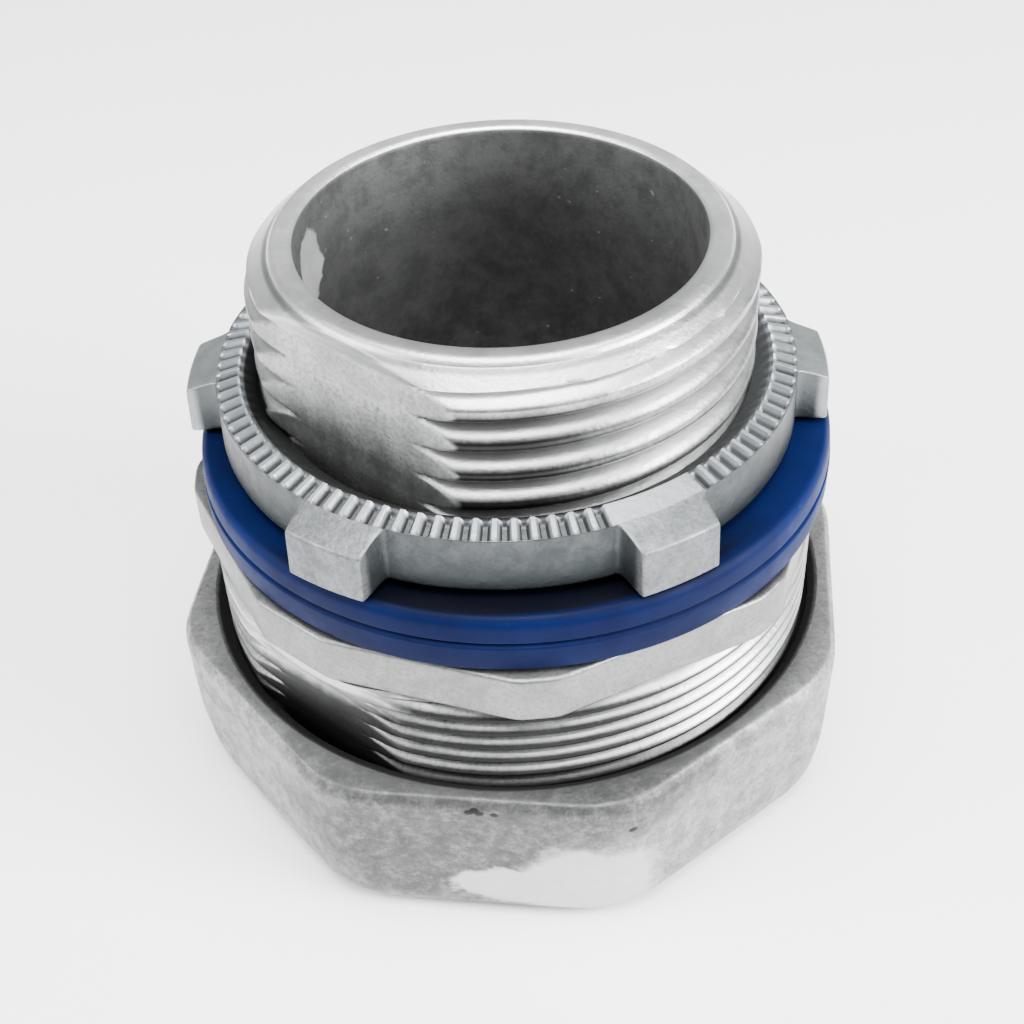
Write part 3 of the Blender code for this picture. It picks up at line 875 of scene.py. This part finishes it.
def nut_zinc():
    """Rough, mottled zinc, stained on top and on one wall, with painted shade round its mouth and a
    paler patch low down.
    """
    look, tone = cast_zinc("zinc_nut", 0.17, 0.32, 1.3, 0.5, 0.75, 0.34)
    up = look.up()
    radius = look.radius()
    height = look.height()
    stain = look.noise(3.4, detail=7.0, rough=0.7)
    tone = look.mix(look.between(stain, 0.5, 0.72, 0.0, 0.4), tone, grey(0.12))
    dark_wall = look.spot(FRONT - 16.0, NUT_CORNER - 1.2, 7.0, 8.0, 3.8, ragged=0.8, edge=1.0)
    dark_edge = look.spot(FRONT - 2.0, NUT_CORNER - 1.6, NUT_TOP - 0.4, 11.0, 2.2, ragged=0.7, edge=1.0)
    stained = look.math("MAXIMUM", dark_wall, dark_edge)
    grain = look.noise(0.9, detail=5.0, rough=0.75)
    stained = look.math("MULTIPLY", stained, look.between(grain, 0.3, 0.6, 0.5, 0.85))
    tone = look.mix(stained, tone, grey(0.035))
    # Painted shade darkens the top face towards the mouth, most at the front.
    on_top = look.between(up, 0.6, 0.9)
    mouth_shade = look.between(radius, NUT_CORNER - 0.9, NUT_CORNER - 2.6, 0.2, 0.75)
    front_share = look.between(look.along(FRONT), -2.0, 16.0, 0.3, 1.0)
    mouth_shade = look.math("MULTIPLY", mouth_shade, front_share)
    tone = look.mix(look.all_of(on_top, mouth_shade), tone, grey(0.07))
    # Painted shade in the gap inside the mouth.
    mouth_gap_shade = look.all_of(
        look.between(radius, NUT_MOUTH_RADIUS + 0.1, NUT_MOUTH_RADIUS - 0.05),
        look.between(height, NUT_TOP - 0.05, NUT_TOP - 0.25),
    )
    tone = look.mix(look.math("MULTIPLY", mouth_gap_shade, 0.93), tone, grey(0.02))
    # A paler patch low on the front walls.
    pale_patch = look.math(
        "MAXIMUM",
        look.spot(FRONT - 3.0, NUT_CORNER - 1.5, 3.6, 3.6, 1.8, ragged=0.5, edge=0.3),
        look.spot(FRONT + 10.0, NUT_CORNER - 1.5, 4.2, 4.2, 3.8, ragged=0.5, edge=0.35),
    )
    tone = look.mix(look.math("MULTIPLY", pale_patch, 0.85), tone, grey(0.52))
    # Casting pits: degrees from the front, radius and height.
    pits = (
        (-9.3, 23.3, 11.6),
        (-8.4, 23.3, 11.75),
        (-7.6, 23.3, 11.55),
        (-5.2, 23.3, 11.5),
        (16.0, 24.6, 9.9),
    )
    for from_front, pit_radius, pit_height in pits:
        pit = look.spot(FRONT + from_front, pit_radius, pit_height, 0.3, 0.2, ragged=0.15, edge=0.4)
        tone = look.mix(look.math("MULTIPLY", pit, 0.97), tone, grey(0.008))
    look.feed(Base_Color=tone)
    return look.material


def blue_plastic():
    """Deep blue moulded plastic with a slight orange-peel surface."""
    look = Shading("blue_sealing_ring", 0.42, 0.0)
    cloud = look.noise(5.0, detail=3.0)
    specks = look.noise(0.5, detail=2.0)
    tone = look.mix(look.between(cloud, 0.3, 0.7), (0.001, 0.0045, 0.036), (0.002, 0.008, 0.056))
    tone = look.mix(look.between(specks, 0.7, 0.82, 0.0, 0.3), tone, (0.015, 0.035, 0.16))
    # Painted shade on the top face, under the locknut.
    top_face_shade = look.between(look.height(), SEALING_RING_TOP - 0.3, SEALING_RING_TOP - 0.05)
    # Painted shade darkens the front of the ring.
    ring_front_shade = look.between(look.along(FRONT), 12.0, 18.5)
    tone = look.mix(look.math("MULTIPLY", ring_front_shade, 0.5), tone, (0.0008, 0.002, 0.012))
    tone = look.mix(look.math("MULTIPLY", top_face_shade, 0.5), tone, (0.001, 0.002, 0.01))
    # Painted shadow of the locknut's ring, nearly black, on the top face at the front.
    inside_rim = look.between(look.radius(), SEALING_RING_RADIUS - 0.56, SEALING_RING_RADIUS - 1.06)
    shadowed = look.all_of(top_face_shade, ring_front_shade, inside_rim)
    tone = look.mix(look.math("MULTIPLY", shadowed, 0.9), tone, (0.0008, 0.001, 0.0015))
    gloss = look.between(cloud, 0.3, 0.7, 0.58, 0.46)
    normal = look.bump(look.noise(0.9, detail=3.0), 0.02)
    normal = look.bump(specks, 0.006, under=normal)
    look.feed(Base_Color=tone, Roughness=gloss, Normal=normal)
    look.shader.inputs["Specular IOR Level"].default_value = 0.05
    return look.material


def steel(name, tone, roughness):
    """Turned steel: fine rings round the axis and a slight bloom."""
    look = Shading(name, roughness, 1.0)
    cloud = look.noise(2.5, detail=4.0)
    colour = look.mix(
        look.between(cloud, 0.35, 0.65),
        (tone, tone * 0.99, tone * 0.97),
        (tone * 1.25, tone * 1.25, tone * 1.24),
    )
    rings = look.node(
        "ShaderNodeTexNoise",
        {"Vector": look.vector("MULTIPLY", look.point, (0.02, 0.02, 1.0)), "Scale": 9.0},
        "Fac",
    )
    look.feed(
        Base_Color=colour,
        Roughness=look.between(cloud, 0.3, 0.7, roughness - 0.06, roughness + 0.08),
        Normal=look.bump(rings, 0.01),
    )
    return look.material


def rubber():
    """Matt black rubber with a little dust."""
    look = Shading("black_rubber", 0.72, 0.0)
    dust = look.noise(0.8, detail=5.0)
    colour = look.mix(look.between(dust, 0.5, 0.8), (0.013, 0.013, 0.014), (0.05, 0.05, 0.048))
    look.feed(Base_Color=colour, Normal=look.bump(look.noise(0.25), 0.02))
    return look.material


# ---------------------------------------------------------------- floor, light, camera


def make_floor():
    """Plain pale floor under the fitting."""
    mesh = bpy.data.meshes.new("floor")
    half = 1500 * MM
    level = (NUT_BASE - 0.02) * MM
    corners = [(-half, -half, level), (half, -half, level), (half, half, level), (-half, half, level)]
    mesh.from_pydata(corners, [], [(0, 1, 2, 3)])
    floor = bpy.data.objects.new("floor", mesh)
    bpy.context.scene.collection.objects.link(floor)
    material = bpy.data.materials.new("floor")
    material.use_nodes = True
    shader = material.node_tree.nodes["Principled BSDF"]
    shader.inputs["Base Color"].default_value = (0.96, 0.96, 0.96, 1.0)
    shader.inputs["Roughness"].default_value = 0.9
    mesh.materials.append(material)


def add_softbox(name, azimuth, elevation, distance, size, power):
    """Square area light that faces the fitting's middle."""
    light = bpy.data.lights.new(name, "AREA")
    light.shape = "SQUARE"
    light.size = size * MM
    light.energy = power
    middle = Vector((0, 0, NIPPLE_TOP / 2 * MM))
    side = math.radians(azimuth)
    rise = math.radians(elevation)
    back = Vector(
        (math.sin(side) * math.cos(rise), -math.cos(side) * math.cos(rise), math.sin(rise))
    )
    lamp = bpy.data.objects.new(name, light)
    lamp.location = middle + back * distance * MM
    lamp.rotation_euler = back.to_track_quat("Z", "Y").to_euler()
    bpy.context.scene.collection.objects.link(lamp)


def make_light():
    """One large softbox overhead, a smaller one on each side, and a dim room."""
    world = bpy.data.worlds.new("studio")
    world.use_nodes = True
    background = world.node_tree.nodes["Background"]
    background.inputs["Color"].default_value = (0.95, 0.97, 1.0, 1.0)
    background.inputs["Strength"].default_value = 0.2
    bpy.context.scene.world = world
    add_softbox("top", azimuth=0, elevation=81, distance=420, size=340, power=6.6)
    add_softbox("right", azimuth=66, elevation=28, distance=380, size=200, power=5.0)
    add_softbox("left", azimuth=-75, elevation=28, distance=400, size=180, power=2.2)


def make_camera():
    """Camera that looks down at the fitting's front, with a small roll."""
    elevation = math.radians(40.56)
    roll = math.radians(-2.65)
    distance = 118.92
    aim = Vector((-0.08, 0.0, 17.08))
    forward = Vector((0.0, math.cos(elevation), -math.sin(elevation)))
    level_right = Vector((1.0, 0.0, 0.0))
    level_up = level_right.cross(forward)
    right = level_right * math.cos(roll) + level_up * math.sin(roll)
    up = level_up * math.cos(roll) - level_right * math.sin(roll)
    camera = bpy.data.cameras.new("camera")
    camera.lens = 57.3
    camera.sensor_width = 36.0
    camera.clip_start = 1 * MM
    camera.clip_end = 10.0
    holder = bpy.data.objects.new("camera", camera)
    place_matrix = Matrix((right, up, -forward)).transposed().to_4x4()
    place_matrix.translation = (aim - forward * distance) * MM
    holder.matrix_world = place_matrix
    bpy.context.scene.collection.objects.link(holder)
    bpy.context.scene.camera = holder


make_connector_body()
make_sealing_ring()
make_locknut()
make_compression_nut()
make_slip_washer()
make_gland_seal()
make_compression_ring()
make_floor()
make_light()
make_camera()
